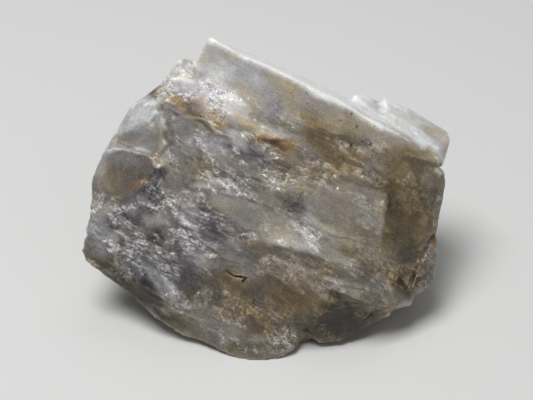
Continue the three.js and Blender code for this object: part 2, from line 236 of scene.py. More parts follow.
# What the face is like, painted from the first area to the last.
FACE_MAP = (
    # whole regions
    oval(-16.8, -6.7, 12, 9, -35, tone=0.37, warm=0.15, violet=0.6, sugar=0.42, rough=0.85),
    oval(-5.5, 7.6, 12, 6, -28, tone=0.4, warm=0.4, violet=0.3, sugar=0.6),
    oval(20, -1.4, 7, 10, 0, tone=0.34, warm=0.95, violet=0, sugar=0.25),
    oval(0, -15, 10, 5, -20, tone=0.35, warm=1, violet=0.1, sugar=0.2),
    # the toe at the lower right: dark olive-brown stone, painted darker still as the shade under the stone
    oval(10, -18.6, 8.5, 3.6, 10, tone=0.16, warm=1.3, violet=0, sugar=0.25),
    oval(-2.5, -20.7, 8, 2.2, 0, tone=0.345, warm=0.8, sugar=0.6),
    # the smooth slab along the top
    outline(0.7, (-8.4, 24.8), (2, 20.8), (12.9, 15.4), (20.7, 10.6), (26.6, 6.6), (26.1, 5.2),
        (23.9, 6.1), (16.5, 8.1), (11.8, 9.3), (5, 11.1), (-0.7, 13.6), (-4, 15.4), (-10, 18.1),
        (-10.8, 20.3), tone=0.52, warm=0.4, violet=0, sugar=0.08, rough=0.12),
    # three smooth scales on the left
    outline(0.6, (-24.2, 9.1), (-23, 12), (-21.2, 14.3), (-18, 16.1), (-16.5, 14.7), (-15.7, 12.1),
        (-15.7, 9.9), (-17.8, 10), (-20, 10.3), (-22.4, 9.7), tone=0.66, warm=-0.4, violet=0, sugar=0.35,
        rough=0.2),
    outline(0.5, (-22.8, 9.4), (-20, 10.2), (-16, 9.7), (-15, 8.2), (-16, 6.7), (-17.5, 7), (-20.3, 8.1),
        tone=0.48, warm=0.3, violet=0.2, sugar=0.05, rough=0.08),
    outline(0.5, (-25.6, 5.6), (-23.3, 7.3), (-20.3, 7.8), (-17.2, 6.7), (-16.8, 4.3), (-18.1, 1.6),
        (-20.6, 0.4), (-24.2, 1), (-26.8, 2), tone=0.33, warm=0.5, violet=0.35, sugar=0.03, rough=0.08),
    # the block right of the middle, and the brown stone beside it
    outline(0.3, (4, 2.6), (9, 2.8), (13, 2.4), (18.4, 0.9), (17.9, -2), (17.4, -6.4), (12.4, -7),
        (7.6, -4.4), tone=0.49, warm=0.5, violet=0.15, sugar=0.3, rough=0.35),
    outline(0.3, (18.4, 1.2), (20.2, 3.2), (24.4, 3.4), (25.4, 1.4), (24.8, -4.6), (17.6, -7), (17.4, -6),
        (17.9, -2), tone=0.3, warm=1.1, violet=0, sugar=0.15, rough=0.35),
    # on the slab
    oval(-8.2, 22.4, 1.9, 2.3, -30, tone=0.49, warm=0.15, violet=0),
    oval(-4.8, 19.8, 2.8, 1.8, -28, tone=0.56, warm=-0.1, violet=0.3),
    oval(-7.4, 19.4, 2.4, 0.8, -20, tone=0.6, warm=0, sugar=0.3),
    oval(-2, 18.6, 3, 2, -60, tone=0.57, warm=-0.1, violet=0.3),
    oval(4.4, 16, 4.8, 2, -28, tone=0.53, warm=0.5, violet=0),
    oval(0.6, 15.4, 1.6, 2.6, -40, tone=0.5, warm=0.35, violet=0.6),
    oval(1.6, 13.6, 1.6, 1.6, -28, tone=0.42, violet=0.9, rough=0.3),
    oval(10.5, 12.4, 5, 2, -28, tone=0.49, warm=0.6, violet=0),
    oval(11.5, 10.6, 3.4, 0.9, -15, tone=0.47, warm=0.6),
    oval(6.2, 12.7, 2.6, 1.3, -28, tone=0.44, warm=0.7, violet=0.1),
    oval(13.4, 8.7, 3.2, 1.2, -20, tone=0.345, warm=0.8, violet=0, sugar=0.05, rough=0.2),
    # the olive-brown hollow under the strip: brown stone, painted darker as the shade under the strip
    oval(22, 6.2, 3.8, 1.9, -28, tone=0.33, warm=0.8, sugar=0.05, rough=0.15),
    # the sugary white crest
    oval(-10.8, 17.4, 5.4, 2.4, -24, tone=0.61, warm=0.05, violet=0.3, sugar=1, rough=0.4),
    oval(-5, 15, 3.2, 1.2, -24, tone=0.64, warm=0.15, sugar=1, rough=0.3),
    # a bright cluster of painted glints on the crest
    oval(-4.9, 15.3, 2, 0.5, -12, tone=0.8, warm=0, violet=0, sugar=1, rough=0.4),
    oval(-5, 13.4, 3.4, 1, -28, tone=0.62, warm=0.3, sugar=1, rough=0.25),
    oval(0.2, 10.5, 4, 1.1, -20, tone=0.68, warm=0.15, violet=0, sugar=0.8),
    oval(-4.3, 9.3, 1.5, 0.9, -15, tone=0.8, warm=0, violet=0, sugar=1, rough=0.3),
    oval(-12.9, 19.6, 3.2, 2.3, 20, tone=0.74, warm=0.1, violet=0.1, sugar=0.7),
    oval(-14.6, 16.8, 1.6, 2.2, -30, tone=0.66, warm=0, violet=0.1, sugar=0.4, rough=0.4),
    # rusty places
    oval(-12.8, 14.6, 2, 0.9, -38, tone=0.5, warm=0.9, rust=0.15, violet=-0.4, sugar=0.15, rough=0.3),
    oval(-10.6, 13.9, 2.6, 1.5, -28, tone=0.22, warm=1.4, rust=0.6, violet=-0.7, sugar=0, rough=0.1),
    oval(-10.3, 13.9, 1.2, 0.7, -24, tone=0.24, rust=1.1),
    oval(-7.2, 12, 2.6, 1, -32, tone=0.38, warm=1.2, rust=0.35, violet=-0.5, sugar=0.05, rough=0.3),
    oval(-3, 11.6, 2.6, 0.8, -28, tone=0.52, warm=0.8, rust=0.06),
    oval(1.4, 8.5, 2.9, 1.1, -28, tone=0.24, warm=1.3, rust=1, violet=-0.7, sugar=0, rough=0.3),
    oval(0.9, 8.7, 2.1, 0.75, -30, tone=0.17, rust=1.8, sugar=0),
    oval(3.6, 8, 1.8, 1, -28, tone=0.42, warm=1.1, rust=0.2),
    oval(-1.1, 10.4, 1.1, 0.8, -28, tone=0.66, warm=0.4, rust=0, violet=0),
    # the pale rim of the lilac facet
    oval(-11.8, 12.75, 2.4, 0.25, -12, tone=0.62, warm=0.2, rust=0),
    oval(-7.7, 10.7, 2.4, 0.3, -36, tone=0.64, warm=0.2, rust=0, sugar=0.6),
    # below the slab
    # the recess under the slab: brown stone, painted darker still as the shade under the slab
    oval(8.3, 9, 3.2, 1.9, -50, tone=0.29, warm=1.5, rust=0.08, sugar=0.05, rough=0.25),
    oval(14, 5.8, 4.5, 1.6, -24, tone=0.42, warm=0.7, violet=0.3, sugar=0.35),
    oval(19.5, 4.4, 3.6, 1.8, -28, tone=0.4, warm=0.85),
    oval(11.6, 6, 3, 1.6, -30, tone=0.32, warm=1.2, violet=0.1, sugar=0.1, rough=0.5),
    oval(6.6, 6.4, 2.4, 1.5, -30, tone=0.36, warm=0.5, violet=0.3, sugar=0.3),
    oval(17.2, 8.1, 1.8, 0.9, -25, tone=0.6, warm=0.4, sugar=1, rough=0.7),
    oval(16.4, 5, 1.6, 0.8, -25, tone=0.5, warm=0.5, sugar=0.5, rough=0.5),
    # left and centre
    oval(-17.4, 10.9, 2.1, 1.1, -12, tone=0.53, warm=0.3, sugar=0, rough=0.1),
    oval(-18.4, 13.9, 2.6, 1, 25, tone=0.74, warm=-0.3, violet=0, sugar=0.6, rough=0.3),
    # a painted highlight on the edge of the upper left scale
    oval(-16.5, 13.2, 0.7, 0.7, 0, tone=0.8, warm=0, sugar=1, rough=0.6),
    oval(-23.6, 11, 1.2, 2.6, -30, tone=0.7, warm=0, sugar=0.3),
    oval(-21.4, 8.1, 3.8, 0.5, -12, tone=0.64, warm=-0.4, violet=0, sugar=0.5),
    oval(-23.6, 7.6, 1, 0.8, 0, tone=0.68, warm=-0.4, violet=0, sugar=0.3),
    oval(-21.8, 6.2, 3.4, 1.3, -8, tone=0.43, warm=0, violet=0.5),
    oval(-25, 4.6, 1, 2.6, -12, tone=0.55, warm=0.2),
    oval(-14.6, 6.7, 2, 1.1, -30, tone=0.54, warm=0.2, sugar=0.45, rough=0.2),
    oval(-12.2, 10.4, 2.4, 1.9, -28, tone=0.35, warm=0.35, violet=0.6, sugar=0.05, rough=0.18),
    oval(-14.7, 10.7, 1.4, 0.6, -72, tone=0.33, warm=0.5, violet=0.1, sugar=0, rough=0.3),
    oval(-12, 7, 2, 1.2, -28, tone=0.47, warm=0.2, sugar=0.7),
    oval(-8, 8.4, 3, 1.6, -28, tone=0.46, warm=0, violet=0.4, sugar=0.7),
    oval(-1.5, 6.2, 4, 1.6, -28, tone=0.33, warm=0.2, violet=0.7, sugar=0.3),
    oval(4.9, 0.3, 1, 0.4, 60, tone=0.37, warm=0.4, violet=0.9, sugar=0.7, rough=0.8),
    oval(3.9, -0.9, 0.9, 0.4, 35, tone=0.37, warm=0.4, violet=0.9, sugar=0.7, rough=0.8),
    oval(0.4, 0.2, 2.4, 1, -28, tone=0.5, warm=0.4, violet=0.2, sugar=0.4, rough=0.4),
    oval(3.5, 4.4, 3.6, 1.8, -28, tone=0.37, warm=0.7, sugar=0.4),
    oval(-9.6, 3.8, 3, 1.4, -28, tone=0.42, warm=0.6, sugar=0.5),
    oval(-9.6, 1.8, 2.2, 0.8, -10, tone=0.6, warm=0.1, sugar=1),
    oval(-4.8, 1.4, 3, 0.9, -24, tone=0.54, warm=0.2, sugar=1),
    oval(1.4, 2.4, 2.8, 1, -20, tone=0.54, warm=0.2, sugar=1),
    oval(-16.3, 4.2, 1.1, 1.7, -10, tone=0.21, warm=0.1, violet=0.9, sugar=0.1, rough=0.8),
    oval(-17.4, 1.3, 3, 1.5, -50, tone=0.22, warm=0.3, violet=0.4, sugar=0.4, rough=1),
    # a painted glint
    oval(-16.3, 5.5, 0.5, 0.35, -20, tone=0.74, warm=0, sugar=1),
    oval(-19.6, 2.4, 1.9, 0.9, 35, tone=0.34, warm=1.1, rust=0.5),
    oval(-24.4, 2.5, 1.3, 1.2, -10, tone=0.46, warm=0.6, violet=0),
    oval(-24.2, -1.4, 1.6, 1.2, 0, tone=0.58, warm=0.25, sugar=0.4),
    oval(-25.6, -3.6, 1.9, 2.6, -5, tone=0.56, warm=-0.1, violet=0.1, sugar=1, rough=1),
    oval(-24.6, -6.4, 1.8, 1, -30, tone=0.56, warm=-0.2, sugar=0.8),
    oval(-23.2, -3.7, 1, 0.7, 0, tone=0.28, violet=0.4),
    outline(0.35, (-8.1, 0.7), (-5.8, 1.3), (-3.1, 0.1), (-0.4, -1.4), (2, -1.7), (3.2, -2.6), (2, -3.8),
        (-0.1, -4.4), (-2.2, -5.3), (-4.3, -3.5), (-6.7, -2), (-8.5, -0.8), tone=0.47, warm=0.3,
        violet=0.25, sugar=0.05, rough=0.08),
    oval(-8.6, -3.4, 2.6, 1.5, -35, tone=0.31, warm=0.3, violet=0.9, sugar=0.5, rough=0.9),
    oval(-20, -2.4, 1.8, 1.3, -35, tone=0.33, warm=0, violet=0.9, sugar=0.6, rough=0.9),
    oval(-17.7, -3.3, 1.4, 0.8, -35, tone=0.49, warm=0, violet=0.2, sugar=1, rough=0.9),
    oval(-13.6, -1.8, 3, 1.4, -28, tone=0.45, warm=0.05, violet=0.2, sugar=0.65),
    oval(-12, -6.5, 3.4, 1.8, -28, tone=0.41, warm=0.05, violet=0.4, sugar=0.5),
    oval(-16.6, -5.8, 1.5, 1.2, -30, tone=0.21, warm=0.5, rust=0.05, violet=0.9, sugar=0.1),
    oval(-13.3, -7, 1.5, 0.8, -60, tone=0.28, warm=0.3, violet=0.7, sugar=0.3),
    oval(-22.4, -7.6, 3.6, 1, -38, tone=0.44, warm=0, violet=0.2, sugar=0.7),
    oval(-17.2, -10.6, 4.8, 0.9, -42, tone=0.56, warm=0, violet=0.1, sugar=1),
    # the rim along the lower left, where the stone turns under: brown stone, painted darker as its shade
    oval(-19.2, -14, 10, 1.7, -35, tone=0.19, warm=0.8, violet=0.1, sugar=0.25),
    oval(-18.4, -12.3, 1.9, 0.9, -35, tone=0.2, warm=0.4, violet=0.4, sugar=0.2),
    oval(-14.4, -13.2, 1.8, 1, -45, tone=0.68, warm=0, violet=0, sugar=1),
    oval(-5.6, -16.2, 2.6, 1.3, -20, tone=0.34, warm=0.9, rust=0.12, violet=0.2),
    oval(-12.6, -11, 2.6, 1.6, -35, tone=0.34, warm=0, violet=0.8, sugar=0.2),
    oval(-20.6, -9.6, 2.6, 1, -40, tone=0.28, warm=0.3, violet=0.6, sugar=0.2),
    oval(-5.5, -8.6, 3.8, 1.8, -28, tone=0.42, warm=0.35, sugar=0.5),
    # right
    oval(8.6, 0.6, 3.4, 2.6, -28, tone=0.46, warm=0.55, sugar=0.3, rough=0.3),
    oval(9.4, -2.6, 2.4, 1.4, -28, tone=0.45, warm=0.2, sugar=0.4),
    oval(15.6, -3, 1.4, 0.8, -10, tone=0.6, warm=0.1, sugar=1, rough=0.5),
    oval(17, -2, 0.9, 3.2, 5, tone=0.56, warm=0.45, sugar=0.1),
    oval(19.2, -0.8, 0.9, 2.8, 5, tone=0.25, warm=1.2),
    oval(24.6, 0.6, 1.2, 1.9, 0, tone=0.29, warm=0.8, sugar=0.1, rough=0.3),
    # a painted highlight on a small bump at the right end
    oval(26.2, 4.3, 0.9, 0.8, 0, tone=0.78, warm=0),
    oval(25, -5.6, 0.6, 1.4, 0, tone=0.33, warm=1, rust=0.7),
    oval(22.4, -8, 2.2, 2.8, 0, tone=0.31, warm=0.9, sugar=0.1),
    oval(17.6, -10.6, 3.4, 2, -28, tone=0.335, warm=0.8, rust=0.05),
    oval(22.3, -11.2, 3, 0.5, 64, tone=0.22, warm=1, rust=0.3, sugar=0),
    oval(20, -12.8, 1.6, 2.2, 30, tone=0.26, warm=0.9, rust=0.1),
    # the white fibrous band and what lies under it
    oval(5.2, -5.2, 6.8, 2.4, -28, tone=0.58, warm=0.15, violet=0.1, sugar=0.6, rough=0.5),
    oval(1.6, -5, 2.4, 0.9, -28, tone=0.58, warm=0.3, sugar=0.8),
    oval(7.6, -3.4, 3, 0.9, -28, tone=0.64, warm=0, sugar=0.9),
    oval(10.4, -8.4, 3.4, 1, -20, tone=0.54, warm=0.3, sugar=0.4, rough=0.4),
    oval(9.8, -5, 2.2, 1.3, -25, tone=0.59, warm=0.1, sugar=0.7, rough=0.5),
    oval(9, -5.6, 0.9, 0.35, -10, tone=0.44, warm=0.3),
    oval(15.4, -7.6, 4, 2.2, -20, tone=0.43, warm=0.6, sugar=0.2, rough=0.4),
    oval(-1.6, -13.2, 4.4, 2.4, -28, tone=0.325, warm=0.7, rust=0.04, violet=0.2, sugar=0.15, rough=0.5),
    oval(-3.6, -10.1, 4.2, 1.6, -20, tone=0.46, warm=0.25, violet=0.3, sugar=0.3),
    oval(-3.4, -12.3, 0.8, 0.5, -60, tone=0.34, warm=1.2, violet=0, rough=0.6),
    oval(4, -15.6, 4.6, 2.6, -28, tone=0.345, warm=1, rust=0.06, sugar=0.1, rough=0.5),
    oval(11.8, -12.7, 3.8, 1, -20, tone=0.54, warm=0.4, sugar=0.25, rough=0.4),
    oval(17.6, -14.2, 3.6, 1.6, -20, tone=0.45, warm=0.35, sugar=0.3),
    oval(10.3, -14.2, 1.2, 0.9, 0, tone=0.26, warm=1.3),
    # foot
    oval(-14.5, -16.4, 1.7, 1, -30, tone=0.43, warm=0.5, sugar=0.4),
    oval(-10.9, -18.5, 1.1, 1, 0, tone=0.44, warm=0.6, sugar=0.5),
    oval(-8.3, -16.9, 0.9, 0.6, 0, tone=0.46, warm=0.7, sugar=0.1, rough=0.2),
    oval(-5.4, -19.7, 2.4, 1.7, -10, tone=0.46, warm=0.5, sugar=0.7, rough=0.3),
    oval(2.4, -21, 3.2, 1.4, 10, tone=0.39, warm=0.6, sugar=0.9),
    # small paler, darker and warmer places here and there
    oval(8, 4, 3, 1.6, -10, tone=0.35, warm=0.7, sugar=0.1),
    oval(2.5, 2.4, 1.3, 0.6, -15, tone=0.44, sugar=0.3),
    oval(-9, 4.1, 1.6, 1.2, -20, tone=0.35, sugar=0.1),
    oval(-10.6, 9.2, 1.8, 0.9, -20, tone=0.42),
    oval(-1, -0.7, 1.5, 0.8, -20, tone=0.56, sugar=0.7),
    oval(4.2, 6.2, 3.6, 1.1, -8, warm=1),
    oval(15.6, 3.9, 1.8, 1, -30, tone=0.38, warm=1),
    oval(11.5, 4.3, 1, 1.2, 0, tone=0.5),
    oval(18.6, 6.8, 1.8, 0.8, -20, tone=0.42),
    oval(2.8, -6.3, 4.6, 1.1, -14, tone=0.69, warm=0.15, sugar=0.9),
    oval(7, -9.8, 6.4, 1, -12, tone=0.36, warm=0.7, sugar=0.1),
    oval(7.5, -12, 2.2, 0.9, -15, tone=0.4, warm=0.7, sugar=0.1),
    oval(-5.2, -6.5, 1.8, 0.8, -20, tone=0.52, sugar=0.6),
    oval(-1.9, -5.8, 1.5, 0.8, -20, tone=0.5, sugar=0.6),
    oval(12.1, -6.3, 2.6, 1.1, -10, tone=0.58, warm=0.4),
    oval(9.4, -4, 1.6, 0.8, -20, tone=0.66, warm=0.2, sugar=0.6),
    oval(-9.6, -9.3, 2.2, 1.1, -25, tone=0.57, warm=0.1, sugar=0.9),
    oval(-16.5, -12.3, 1.4, 0.8, -35, tone=0.5, sugar=0.8),
    oval(-18.8, -8.5, 1.9, 0.7, -35, tone=0.33, sugar=0.4),
    oval(-21.6, -4, 1.8, 0.7, -35, tone=0.35, sugar=0.4),
    oval(-15.9, -3.2, 1.9, 1, -10, tone=0.58, sugar=0.9),
    oval(-20.3, -1.5, 1.7, 0.7, -25, tone=0.5, sugar=0.8),
    oval(-12.4, -0.4, 1.8, 0.6, -15, tone=0.58, sugar=0.9),
    oval(-11.6, -2.6, 1.4, 1.4, 0, tone=0.56, sugar=0.8),
    oval(-23.1, -5.6, 1.3, 1.2, 0, tone=0.54, sugar=0.9),
    oval(-11, -14.4, 3.2, 1.3, -20, tone=0.31, warm=0.5, sugar=0.2),
    oval(-1.5, -21, 1.8, 0.9, 0, tone=0.5, warm=0.2, sugar=1),
    oval(-4.3, 8.8, 2.2, 1, -35, tone=0.62, warm=0.1),
    oval(24.2, 3.1, 1, 1.2, 0, tone=0.46, warm=0.5),
    oval(23.6, -2.5, 0.8, 1.2, 0, tone=0.42, warm=0.6),
    oval(-4.5, -8, 3.6, 1.3, -20, warm=0.05, violet=0.6),
    oval(12, 12, 2.6, 1, -28, warm=0.3),
    oval(11.4, -17.8, 3.4, 2, 15, warm=2.4),
    oval(-10.5, 14.1, 1.6, 0.7, -25, warm=0.5),
    # the ledge behind the slab, the pinkish facet that ends it, and the white strip where they meet; ledge
    # and strip are painted bright as a highlight where the light from above falls
    outline(0.4, (12, 14.9), (13, 16.8), (17.1, 15.7), (18.3, 16.3), (22.8, 14.6), (23, 11.4), (24.8, 9),
        (23.8, 7.6), (20.7, 10.3), (16.8, 12.7), tone=0.85, warm=-0.4, violet=0, sugar=0.3, rough=0.25),
    oval(16.8, 14.2, 0.6, 1.6, 30, tone=0.74, warm=-0.4, sugar=0, rough=0.1),
    oval(21.2, 12, 2.8, 0.7, -40, tone=0.78, warm=0.1, sugar=0.3, rough=0.3),
    outline(0.9, (21.6, 14.8), (25.4, 13.2), (28.8, 10.8), (28.8, 8.4), (27.2, 4.4), (26.4, 6.6),
        (24.7, 9.8), (21.8, 12.2), tone=0.64, warm=0.25, violet=0.3, sugar=0.05, rough=0.1),
    oval(23.2, 12.3, 2.4, 0.8, -32, tone=0.77, warm=0, violet=0.1),
    outline(0.9, (12.2, 14.6), (16, 14.4), (19.4, 13), (22, 11.6), (24.9, 9.5), (26.4, 7.9), (26.8, 5.8),
        (26.1, 6), (24.9, 7.7), (22.6, 9.1), (20, 10), (17, 10.7), (14, 12.2), tone=0.88, warm=-0.05,
        violet=0, sugar=0.5, rough=0.65),
    # the slab's upper edge and the top behind it: a frosted rim, painted paler still as a highlight where
    # the light from above falls on it
    outline(0.6, (-9.2, 25.4), (2, 22.4), (13, 17.4), (14.8, 13.4), (11.4, 13.8), (8, 15.3), (4, 17.9),
        (-3.4, 21.3), (-8.4, 23.9), tone=0.9, warm=-0.2, violet=0, sugar=0.2, rough=0.15),
)


def front_weight(face, normals):
    """1 on the side that has the broad face, and 0 behind."""
    towards = normals @ -face_axes()[:, 2]
    return smoothstep(*FRONT_TURNS, towards) * smoothstep(*FRONT_DEPTHS, face[:, 2])


def stone_map(points, normals):
    """What the stone is like at each point, by channel. The face has its own areas, the rest is random."""
    face = on_face(points)
    grain = on_grain(points)
    seen = as_seen(face)
    values = {}
    for number, (channel, plain) in enumerate(PLAIN.items()):
        patchy = soft_noise(grain, PATCH_SIZE, PATCH_SEED + number)
        values[channel] = plain + PATCH_CHANGE * patchy * (channel != "rust")
    wander = sum(reach * noise_columns(points, size, seeds) for size, reach, seeds in BORDER_BENDS)
    front = front_weight(face, normals)
    for inside, numbers, likeness in FACE_MAP:
        weight = inside(seen, wander, *numbers) * front
        for channel, value in likeness.items():
            values[channel] = values[channel] + weight * (value - values[channel])
    veil = sum(strength * soft_noise(grain, size, seed) for size, strength, seed in VEILS)
    broken = smoothstep(*VEIL_BORDER, veil)
    values["tone"] = values["tone"] + VEIL_ON_TONE * (broken - 0.5) * values["rough"]
    values["sugar"] = values["sugar"] * (VEIL_ON_SUGAR[0] + VEIL_ON_SUGAR[1] * broken)
    values["rough"] = values["rough"] * (VEIL_ON_ROUGH[0] + VEIL_ON_ROUGH[1] * broken)
    return values


# -------- the fine mesh
def add_object(name, data):
    made = bpy.data.objects.new(name, data)
    bpy.context.scene.collection.objects.link(made)
    return made


def with_modifier(obj, kind, **settings):
    """The object's mesh with one modifier applied, as a new mesh."""
    modifier = obj.modifiers.new(kind.lower(), kind)
    for name, value in settings.items():
        setattr(modifier, name, value)
    graph = bpy.context.evaluated_depsgraph_get()
    made = bpy.data.meshes.new_from_object(obj.evaluated_get(graph))
    obj.modifiers.clear()
    return made


def copy_of(node):
    stone = add_object(PIECE, node.data.copy())
    stone.data = with_modifier(stone, "WELD", merge_threshold=WELD_GAP * MM)
    return stone


def remesh(stone, voxel):
    """An even, closed mesh of small quads."""
    stone.data = with_modifier(stone, "REMESH", mode="VOXEL", voxel_size=voxel * MM)


def read_points(mesh, what="co"):
    values = np.zeros(len(mesh.vertices) * 3)
    mesh.vertices.foreach_get(what, values)
    return values.reshape(-1, 3)


def write_points(mesh, points):
    mesh.vertices.foreach_set("co", points.astype(np.float32).ravel())
    mesh.update()


def smoothed_shift(stone, steps):
    """How far each point would move under so many smoothing steps, in millimetres."""
    smooth = with_modifier(stone, "SMOOTH", factor=SMOOTHING, iterations=steps)
    return (read_points(smooth) - read_points(stone.data)) / MM


def soften_creases(stone):
    """Fills the narrow creases between plates, and leaves the outer edges sharp."""
    mesh = stone.data
    shift = smoothed_shift(stone, CREASE_STEPS)
    outwards = (shift * read_points(mesh, "normal")).sum(axis=1)
    points = read_points(mesh)
    from_notch = np.hypot(*(as_seen(on_face(points / MM)) - NOTCH).T)
    weight = smoothstep(CREASE_KEPT, CREASE_FILLED, outwards)
    weight = weight * smoothstep(*NOTCH_FADE, from_notch / NOTCH_RADIUS)
    write_points(mesh, points + shift * weight[:, None] * MM)


def even_face(stone):
    """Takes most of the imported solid's ledges off the broad face, where the real steps follow."""
    mesh = stone.data
    points = read_points(mesh) / MM
    face = on_face(points)
    front = smoothstep(*BROAD_DEPTHS, face[:, 2])
    weight = front * in_outline(as_seen(face), 0, BROAD_BORDER, BROAD_FACE)
    for steps in FACE_STEPS:
        shift = smoothed_shift(stone, steps)
        points = points + shift * weight[:, None]
        write_points(mesh, points * MM)


def square_slab_end(stone):
    """Brings the bevel at the slab's left end forward, along the line of sight, to the slab's level."""
    mesh = stone.data
    face = on_face(read_points(mesh) / MM)
    seen = as_seen(face)
    towards = read_points(mesh, "normal") @ -face_axes()[:, 2]
    depth, height, slope = SLAB_SLOPE
    level = depth + slope * (seen[:, 1] - height)
    weight = in_outline(seen, 0, SLAB_END_BORDER, SLAB_END) * smoothstep(*SLAB_END_TURNS, towards)
    face[:, 2] = np.where(face[:, 2] > level, face[:, 2] + weight * (level - face[:, 2]), face[:, 2])
    face[:, :2] = seen * (1 + (face[:, 2:] - FACE_DEPTH) / VIEW_DISTANCE)
    write_points(mesh, (face @ face_axes().T + FACE_ORIGIN) * MM)


PLATE_LEVELS = (
    # size along the fibres, across them and out of the face; lift; bevel; tilt; seed
    ((6.0, 3.6, 3.2), 0.42, 0.6, 0.8, 3),
    ((2.4, 1.6, 1.4), 0.24, 0.7, 0.9, 11),
    ((0.9, 0.62, 0.6), 0.12, 0.9, 1.0, 23),
)
SMALLEST_PLATE = 0.45             # half its size, in cells
PLATE_SPREAD = 0.5                # how much larger than that the largest one is
GROUND_LEVEL = -0.5               # the height between plates, in lifts
MIDDLE_LEVEL = 0.6                # the height that leaves the surface where it was, in lifts


def plates(points, size, lift, bevel, tilt, seed):
    """The height of overlapping plates with sloping edges. The highest plate over a point counts."""
    place = points / size
    base = np.floor(place)
    top = np.full(len(place), GROUND_LEVEL * lift)
    for step in itertools.product((-1, 0, 1), repeat=3):
        cell = base + step
        # The seven numbers are the plate's middle (three), size, level and lean (two).
        luck = scrambled(cell, seed, 7)
        away = place - cell - luck[:, :3]
        inside = SMALLEST_PLATE + PLATE_SPREAD * luck[:, 3] - np.abs(away).max(axis=1)
        lean = ((luck[:, 5:7] - 0.5) * away[:, :2]).sum(axis=1)
        cap = lift * (luck[:, 4] + 2 * tilt * lean)
        top = np.maximum(top, np.minimum(cap, bevel * inside * size[1]))
    return top - MIDDLE_LEVEL * lift


# Lines on the face: their points (across, up), the step down to their right-hand side as drawn, how far
# that step reaches, and the height and half width of a ridge (or the depth, below 0, of a groove).
LINES = (
    # the edge of the sugary crest over the lilac facet
    (((-14.6, 14), (-13.3, 13.3), (-11.4, 12.8), (-9.5, 12), (-8.4, 11), (-7, 10.2), (-5.6, 9.4)),
     0.35, 1.6, 0.12, 0.25),
    # the borders of the left scales
    (((-16.3, 15.4), (-15.9, 12.4), (-15.6, 10.8), (-15.8, 9.9)), -0.15, 1.2, 0.15, 0.25),
    (((-15.8, 9.9), (-14.8, 8.6), (-16.2, 6.4), (-16.9, 4.4), (-18, 2)), -0.2, 1.5, -0.3, 0.4),
    (((-22.5, 9), (-20.4, 8.1), (-18.9, 7.5), (-17.4, 7)), 0.2, 1.4, 0.16, 0.25),
    (((-22.6, 10.2), (-20.2, 10.7), (-17.8, 10.6), (-15.8, 9.9)), 0.1, 1.2, 0.05, 0.25),
    # the lens-shaped facet
    (((-11.4, 2.2), (-9, 2), (-6, 1.3), (-3.4, 0.5), (0, -0.7), (2.6, -2.4)), 0.22, 1.4, 0.12, 0.3),
    (((-9.6, 0.2), (-6.6, -2), (-3.2, -3.9), (0.6, -5.4), (3.4, -5.9)), 0.25, 1.6, 0.05, 0.25),
    # the block right of the middle: its upper edge and its cliff
    (((6, 5.6), (10, 5), (14, 3.6), (18.2, 2.2)), -0.2, 1.6, 0.05, 0.25),
    (((18.3, 1.4), (18.2, 0), (17.8, -1.8), (17.4, -4), (17, -6)), -0.6, 2.2, 0.08, 0.3),
    # the underside of the slab
    (((3.4, 12.4), (6.4, 11.4), (9.4, 10.2), (12, 9.4), (15, 8.4)), 0.4, 1.6, 0, 0.25),
    # the step across the ledge behind the slab
    (((16.2, 16.6), (17, 15.2), (17.6, 14), (18.6, 12.6)), 0.9, 2, -0.25, 0.3),
    # the lower edge of the block right of the middle
    (((4.8, -3), (8.4, -4.4), (12.6, -5.6), (16.8, -6.8)), 0.25, 1.4, 0.08, 0.3),
    # the white fibrous band's lower edge
    (((0.4, -6.6), (4.8, -7.4), (9.6, -9), (14.6, -10)), 0.25, 1.4, 0.1, 0.35),
    # the whitish ridge over the brown hollow, and the hollow
    (((8.6, -11.6), (10.6, -12.4), (13.2, -13), (16.4, -13.6)), 0.3, 1.4, 0.2, 0.4),
    (((9, -14), (11.6, -14.6), (13, -16.4)), 0, 1, -0.45, 0.7),
    # the white ridge down the lower left
    (((-26, -5), (-23.6, -7.2), (-20.8, -9.4), (-18.4, -11.4), (-16.4, -13.2), (-14.2, -15.2)),
     0.4, 1.6, 0.2, 0.35),
    # steps through the middle
    (((-13.4, 7.6), (-10.4, 6.6), (-7.4, 5), (-4.6, 3.8), (-1, 3.2), (2.4, 2)), 0.22, 1.4, 0.1, 0.3),
    (((-15, -2.2), (-12, -4.2), (-9, -6.2), (-6.4, -8.4), (-3.6, -9.4)), 0.25, 1.4, 0.1, 0.3),
    (((-6.6, 8.8), (-3.6, 7.6), (0.4, 6.6), (3.8, 5), (6.4, 3.6)), 0.2, 1.4, 0.05, 0.25),
    (((-8.6, -13.2), (-5, -14.6), (-1, -15.6), (3.2, -18)), 0.2, 1.6, 0.05, 0.3),
    # the dark crack with a pit at its end
    (((-6.1, -10.4), (-5.2, -10.9), (-4.4, -11.3), (-3.6, -11.5), (-2.7, -11.8)), 0, 1, -0.5, 0.13),
    (((-3.4, -11.6), (-3.3, -12.4)), 0, 0.4, -0.6, 0.3),
    # the crevice down the right edge
    (((25.2, -4.6), (24, -8), (22.4, -11), (21, -13.8)), 0.12, 1.4, -0.3, 0.35),
)


